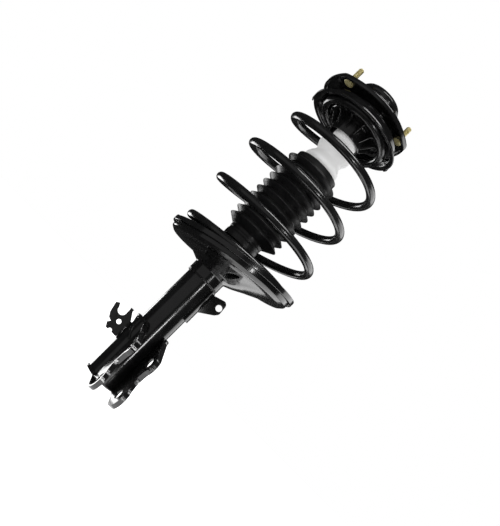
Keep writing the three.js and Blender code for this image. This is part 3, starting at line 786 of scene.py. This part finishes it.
def add_mount_plate():
    low = PLATE_TOP - SHEET - 5
    mouth = DOME + GAP
    bend = 3.2
    quarter = [(bend * (1 - math.cos(a)), PLATE_TOP - bend * (1 - math.sin(a)))
               for a in np.linspace(0, math.pi / 2, 7)]
    inner = bend - SHEET + 0.4
    under = [(SHEET + inner * (1 - math.cos(a)), PLATE_TOP - SHEET - inner * (1 - math.sin(a)))
             for a in np.linspace(math.pi / 2, 0, 5)]
    upper = [(0.4, low), (0, low + 0.5), *quarter, (12, PLATE_TOP)]
    lower = [(12, PLATE_TOP - SHEET), *under, (SHEET, low + 0.5), (SHEET - 0.4, low)]
    turns = [math.atan2(y, x) for x, y in plate_outline(0)]

    def edge_ring(inset, height):
        return [(x, y, height) for x, y in plate_outline(inset)]

    def mouth_ring(height):
        return [(mouth * math.cos(a) - PLATE[0], mouth * math.sin(a), height) for a in turns]

    rings = [edge_ring(*level) for level in upper]
    rings += [mouth_ring(PLATE_TOP), mouth_ring(PLATE_TOP - SHEET)]
    rings += [edge_ring(*level) for level in lower]
    vertices = [on_plate(*p) for ring in rings for p in ring]
    faces = ring_faces(len(rings), len(turns), closed=True)
    plate = made("mount_plate_pressed", vertices, faces, PAINT, 35)
    for angle in STUD_ANGLES:
        x, y = STUD_CIRCLE * math.cos(angle) + PLATE[0], STUD_CIRCLE * math.sin(angle)
        hole = prism("cutter", arc(x, y, STUD + GAP, 0, 345, 23), low - 20, PLATE_TOP + 20, PAINT)
        combined(plate, hole, "DIFFERENCE")
    shade(plate, 35)
    finish_piece(plate, "top_mount", "black_paint", "mount_plate")


def add_studs():
    """Press-in studs: a round head under the plate and a rolled thread above it."""
    pitch = 1.25
    sides = 32
    for number, angle in enumerate(STUD_ANGLES, 1):
        under = PLATE_TOP - SHEET - GAP
        tip = PLATE_TOP + STUD_LENGTH
        rows = [(0, under - 3), (6.2, under - 3), (6.9, under - 2.5), (STUD_HEAD, under - 1.2), (6.4, under),
                (3.9, under), (3.9, PLATE_TOP + 1.5)]
        rows += [(None, z) for z in np.arange(PLATE_TOP + 1.6, tip - 1.2, pitch / 6)]
        rows += [(3.1, tip - 0.9), (2.7, tip), (0, tip)]
        vertices = []
        for radius, z in rows:
            for k in range(sides):
                a = TAU * k / sides
                r = radius
                if radius is None:
                    phase = (z / pitch - k / sides) % 1
                    ridge = 1 - abs(2 * phase - 1)
                    fade = smooth(z, PLATE_TOP + 1.6, PLATE_TOP + 3.5)
                    r = 3.95 - 0.75 * fade * (1 - ridge)
                x = STUD_CIRCLE * math.cos(angle) + r * math.cos(a)
                y = STUD_CIRCLE * math.sin(angle) + r * math.sin(a)
                vertices.append(on_plate(x, y, z))
        stud = made(f"stud_{number}", vertices, ring_faces(len(rows), sides), ZINC, 35)
        finish_piece(stud, "top_mount", "zinc", f"mount_stud_{number}")


def add_dome():
    flange_top = PLATE_TOP - SHEET - GAP
    low = flange_top - SHEET
    top = PLATE_TOP + 31
    flange = DOME + DOME_FLANGE
    profile = [(31.2, low), (flange, low), (flange, flange_top), (DOME, flange_top), (DOME, top - 15),
               (33.4, top - 13.6),
               (32, top - 13), (31.6, top - 11), (33, top - 9.5), (33, top - 5), (29.5, top), (19, top),
               (19, top - SHEET), (27.5, top - SHEET), (29, top - 7), (28.2, top - 11), (28.8, top - 14),
               (31.2, top - 17)]
    dome = revolved("dome", profile, PAINT, (0, 0, PLATE[2]), 144, 1.1)
    for v in dome.data.vertices:
        v.co.x -= 3.2 * MM * smooth(v.co.z / MM, PLATE_TOP + 1, PLATE_TOP + 10)
    finish_piece(dome, "top_mount", "black_paint", "mount_dome")
    race_top = 506.7
    outer = 30.9
    rubber_top = top - SHEET - 7
    rubber = [(23.1, 494.7, 0), (outer - 2, PLATE_TOP - SHEET - 4), (outer, PLATE_TOP - SHEET),
              (outer - 3, rubber_top - 8), (outer - 5, rubber_top + 2), (20.5, rubber_top + 2, 0.6),
              (18, rubber_top - 1, 0.4), (18, race_top + 3.5, 0), (23.1, race_top + 3.5, 0)]
    bush = revolved("mount_bush", rubber, RUBBER, (0, 0, PLATE[2]), 96, 1.2)
    finish_piece(bush, "top_mount", "rubber", "mount_rubber")


add_mount_plate()
add_studs()
add_dome()


# ---------------------------------------------------------------- knuckle bracket

ARM = 28.5 / 2  # half the gap between the arms
BRACKET_TURN = -72.5  # degrees from +X to the arms
BRACKET_LOW, BRACKET_TOP = 2, 96
LIP = 4
BOLT_REACH = 48
BOLT_LEVELS = (9, 62)
BOLT_HOLE = 7.2


def bracket_section():
    inner = TUBE + GAP
    outer = inner + SHEET
    arm_outer = ARM + SHEET
    reach = 70
    first = math.degrees(math.asin(arm_outer / outer))
    second = math.degrees(math.asin(ARM / inner))
    return [(reach, arm_outer), *arc(0, 0, outer, first, 360 - first, 72), (reach, -arm_outer), (reach, -ARM),
            *arc(0, 0, inner, 360 - second, second, 72), (reach, ARM)]


def arm_outline(inset):
    lobe = 16 - inset
    start = TUBE - 4
    back = -TUBE - 10
    low = BRACKET_LOW + inset
    top = BRACKET_TOP - inset
    first, second = BOLT_LEVELS
    return [(back, low), (start, low), (31, 14 - lobe), *arc(BOLT_REACH, first, lobe + 2, -100, 50, 24),
            (BOLT_REACH + lobe * 0.42, 35.5), *arc(BOLT_REACH, second, lobe, -50, 42, 20),
            (TUBE + 4, top - 4), (start, top), (back, top)]


def upright(name, outline, start, end):
    """A side outline stood on edge, with its thickness from one distance to another across."""
    matrix = Matrix.Translation((0, end, 0)) @ Matrix.Rotation(math.pi / 2, 4, "X")
    return prism(name, outline, 0, end - start, PAINT, matrix)


def add_knuckle_bracket():
    arm_outer = ARM + SHEET
    body = prism("knuckle_bracket_pressed", bracket_section(), -18, 116, PAINT)
    combined(body, upright("cutter", arm_outline(0), -40, 40), "INTERSECT")
    window = [(TUBE + 3, -20), (90, -20), (90, 130), (TUBE + 3, 130)]
    for side in (1, -1):
        start, end = (ARM, arm_outer + LIP) if side > 0 else (-arm_outer - LIP, -ARM)
        rim = upright("rim", arm_outline(0), start, end)
        combined(rim, upright("cutter", arm_outline(SHEET), start - 1, end + 1), "DIFFERENCE")
        combined(rim, upright("cutter", window, start - 1, end + 1), "INTERSECT")
        combined(body, rim, "UNION")
    for level in BOLT_LEVELS:
        hole = arc(BOLT_REACH, level, BOLT_HOLE, 0, 348, 29)
        combined(body, upright("cutter", hole, -40, 40), "DIFFERENCE")
    bevelled(body, 0.7, 40, 3)
    body.data.transform(Matrix.Rotation(math.radians(BRACKET_TURN), 4, "Z"))
    finish_piece(body, "strut_body", "black_paint", "knuckle_bracket")


def add_bracket_edges():
    """The wrap's rolled ends, the folds from its top to the arms, and its welds to the tube."""
    outer = TUBE + GAP + SHEET
    for number, (level, size) in enumerate(((93.6, 2.4), (4.2, 2.2)), 1):
        turns = np.linspace(44, 316, 120)
        rolled_edge(f"bracket_roll_{number}", wrapped(outer - 0.2, turns, [level] * len(turns)), size)
    for number, (first, last) in enumerate(((256, 314), (104, 46)), 1):
        steps = np.linspace(0, 1, 60)
        fold = wrapped(outer - 0.6, first + (last - first) * steps, 91 - 27 * steps ** 1.3)
        rolled_edge(f"bracket_fold_{number}", fold, 2.2)
    for number, side in enumerate((41, 319), 1):
        heights = np.linspace(8, 90, 60)
        bead(f"bracket_weld_{number}", wrapped(24.2, [side] * len(heights), heights), 1.3, 30 + number)


def wrapped(radius, degrees, heights):
    """Points round the tube, at angles in degrees from the bracket's arms."""
    turns = np.radians(np.array(degrees) + BRACKET_TURN)
    return [(radius * math.cos(a), radius * math.sin(a), z) for a, z in zip(turns, heights)]


def rolled_edge(name, path, radius):
    """A smooth rolled edge along a path."""
    data = bpy.data.curves.new(name, "CURVE")
    data.dimensions = "3D"
    data.bevel_depth = radius * MM
    data.bevel_resolution = 5
    data.use_fill_caps = True
    spline = data.splines.new("POLY")
    spline.points.add(len(path) - 1)
    for point, place in zip(spline.points, path):
        point.co = (*(MM * c for c in place), 1)
    curve = bpy.data.objects.new(name, data)
    bpy.context.collection.objects.link(curve)
    bpy.context.view_layer.update()
    mesh = bpy.data.meshes.new_from_object(curve.evaluated_get(bpy.context.evaluated_depsgraph_get()))
    bpy.data.objects.remove(curve)
    mesh.materials.clear()
    mesh.materials.append(PAINT)
    obj = bpy.data.objects.new(name, mesh)
    bpy.context.collection.objects.link(obj)
    shade(obj, 60)
    finish_piece(obj, "strut_body", "black_paint")


add_knuckle_bracket()
add_bracket_edges()


# ---------------------------------------------------------------- hose and link brackets

HOSE_LOW, HOSE_HIGH = 53, 80
LINK_LOW, LINK_HIGH = 130, 182


def band(radius, first, last, low, high, thickness):
    """A bracket's foot, wrapped part of the way round the tube."""
    outline = arc(0, 0, radius + thickness, first, last, 24) + arc(0, 0, radius, last, first, 24)
    return prism("foot", outline, low, high, PAINT)


def faced(name, outline, front, thickness):
    """An outline of (x, z) points stood on edge, with its thickness along Y."""
    matrix = Matrix.Translation((0, front + thickness, 0)) @ Matrix.Rotation(math.pi / 2, 4, "X")
    return prism(name, outline, 0, thickness, PAINT, matrix)


def add_hose_bracket():
    inner = TUBE + 2 * GAP + SHEET
    thickness = SHEET - GAP
    edge = -math.sqrt((inner + thickness / 2) ** 2 - 1)
    x = edge - 18
    z = 83
    n = 6.3
    outline = [(edge, HOSE_LOW), (edge, HOSE_HIGH), (x + n + 4, z + 8), (x + n + 4, z + 10.5),
               (x + n - 0.5, z + 10.5), *arc(x, z, n, 0, -180, 20), (x - n - 3, z + 5),
               (x - n - 7.5, z + 2), (x - n - 4, z - 12), (x - n, z - 18), (x - 1, z - 20),
               (x - 4, z - 24), (x, HOSE_LOW), (x + 3.5, HOSE_LOW),
               *arc(x + 6.5, 53.5, 3, 180, 0, 10)]
    tab = faced("hose_bracket_pressed", outline, -1, thickness)
    combined(tab, faced("cutter", arc(x + 7, z - 13.5, 3.4, 0, 345, 23), -9, 20), "DIFFERENCE")
    combined(tab, band(inner, 150, 205, HOSE_LOW, HOSE_HIGH, thickness), "UNION")
    bevelled(tab, 0.6, 40, 3)
    finish_piece(tab, "strut_body", "black_paint", "brake_hose_bracket")


def add_link_bracket():
    inner = TUBE + GAP
    edge = inner + SHEET / 2
    hole_x = TUBE + 19
    hole_z = 173
    outline = [(edge, hole_z - 24), (hole_x + 2, hole_z - 11), *arc(hole_x, hole_z - 4, 6, -30, 0, 6),
               *arc(hole_x - 1, hole_z + 6, 6, 0, 90, 12), (edge + 6, LINK_HIGH), (edge, LINK_HIGH - 2)]
    tab = faced("link_bracket_pressed", outline, -SHEET, SHEET)
    combined(tab, faced("cutter", arc(hole_x, hole_z, 4.6, 0, 345, 23), -20, 40), "DIFFERENCE")
    combined(tab, band(inner, -34, 24, LINK_LOW, LINK_HIGH, SHEET), "UNION")
    bevelled(tab, 0.7, 40, 3)
    finish_piece(tab, "strut_body", "black_paint", "stabilizer_link_bracket")


add_hose_bracket()
add_link_bracket()


# ---------------------------------------------------------------- studio

def panel(name, place, target, width, height, watts):
    """A rectangular light at a place, turned to face its target."""
    data = bpy.data.lights.new(name, "AREA")
    data.shape = "RECTANGLE"
    data.size = width
    data.size_y = height
    data.energy = watts
    obj = bpy.data.objects.new(name, data)
    bpy.context.collection.objects.link(obj)
    obj.location = place
    obj.rotation_euler = (Vector(target) - Vector(place)).to_track_quat("-Z", "Y").to_euler()


def staged_sheet(name, low, high, level):
    """A flat sheet in the studio between two corners, at a height of its own."""
    mesh = bpy.data.meshes.new(name)
    corners = [(low[0], low[1], 0), (high[0], low[1], 0), (high[0], high[1], 0), (low[0], high[1], 0)]
    mesh.from_pydata(corners, [], [(0, 1, 2, 3)])
    obj = bpy.data.objects.new(name, mesh)
    obj.location.z = level
    bpy.context.collection.objects.link(obj)
    return obj


def add_floor():
    size = 6
    floor = staged_sheet("floor", (-size, -size), (size, size), -0.0115)
    material, tree, shader, place = new_material("floor")
    tone = ramp(tree, noise(tree, place, 3, 2), 0.3, 0.7, (0.9, 0.9, 0.9), (0.93, 0.93, 0.93))
    tree.links.new(tone, shader.inputs["Base Color"])
    shader.inputs["Roughness"].default_value = 0.8
    shader.inputs["Specular IOR Level"].default_value = 0.1
    shader.inputs["Emission Color"].default_value = (1, 1, 1, 1)
    gradient = tree.nodes.new("ShaderNodeTexGradient")
    gradient.gradient_type = "SPHERICAL"
    spread = tree.nodes.new("ShaderNodeMapping")
    spread.inputs["Scale"].default_value = (0.7, 0.7, 0.7)
    tree.links.new(place, spread.inputs["Vector"])
    tree.links.new(spread.outputs["Vector"], gradient.inputs["Vector"])
    glow = ramp(tree, gradient.outputs["Fac"], 0, 0.9, 1.0, 0.8)
    tree.links.new(glow, shader.inputs["Emission Strength"])
    floor.data.materials.append(material)
    floor.visible_diffuse = False
    floor.visible_glossy = False


def add_card():
    """A glowing card just above the floor that only glossy surfaces see."""
    card = staged_sheet("bounce", (-0.012, -0.2), (0.5, 0.5), -0.011)
    material, tree, shader, place = new_material("bounce")
    shader.inputs["Base Color"].default_value = (0.9, 0.9, 0.9, 1)
    shader.inputs["Emission Color"].default_value = (1, 1, 1, 1)
    glow = ramp(tree, noise(tree, place, 4, 2), 0.2, 0.8, 0.75, 0.95)
    tree.links.new(glow, shader.inputs["Emission Strength"])
    card.data.materials.append(material)
    card.visible_camera = False
    card.visible_diffuse = False
    card.visible_shadow = False
    card.visible_transmission = False


def add_world():
    """A white backdrop for the camera, a soft fill for diffuse light and near black in reflections."""
    world = bpy.data.worlds.new("studio")
    bpy.context.scene.world = world
    world.use_nodes = True
    nodes = world.node_tree.nodes
    links = world.node_tree.links
    path = nodes.new("ShaderNodeLightPath")

    def background(strength):
        node = nodes.new("ShaderNodeBackground")
        node.inputs["Color"].default_value = (1, 1, 1, 1)
        node.inputs["Strength"].default_value = strength
        return node.outputs["Background"]

    def chosen(kind, otherwise, when):
        node = nodes.new("ShaderNodeMixShader")
        links.new(path.outputs[kind], node.inputs["Fac"])
        links.new(otherwise, node.inputs[1])
        links.new(when, node.inputs[2])
        return node.outputs["Shader"]

    soft = chosen("Is Diffuse Ray", background(0.02), background(0.75))
    links.new(chosen("Is Camera Ray", soft, background(1)), nodes["World Output"].inputs["Surface"])


def add_lights():
    panel("strip", (0.62, -0.98, 0.02), (0, 0, 0.02), 0.09, 0.24, 1.6)
    panel("glint", (0.62, -0.98, 0.29), (0, 0, 0.2), 0.08, 0.07, 0.5)
    panel("side", (1.25, 0.75, 0.5), (0, 0, 0.25), 1.1, 1.6, 10)
    panel("overhead", (0.14, -0.5, 1.35), (0, 0, 0.35), 0.8, 0.3, 7)
    panel("left", (-0.9, -1.5, 0.4), (0, 0, 0.3), 2.6, 2.0, 3.4)
    panel("rear_left", (-0.85, 1.2, -0.06), (-0.02, -0.03, 0.03), 0.55, 0.5, 4)


def set_view():
    settings = bpy.context.scene.view_settings
    settings.view_transform = "Standard"
    settings.look = "None"
    settings.exposure = 0
    settings.gamma = 1


add_floor()
add_card()
add_world()
add_lights()
set_view()
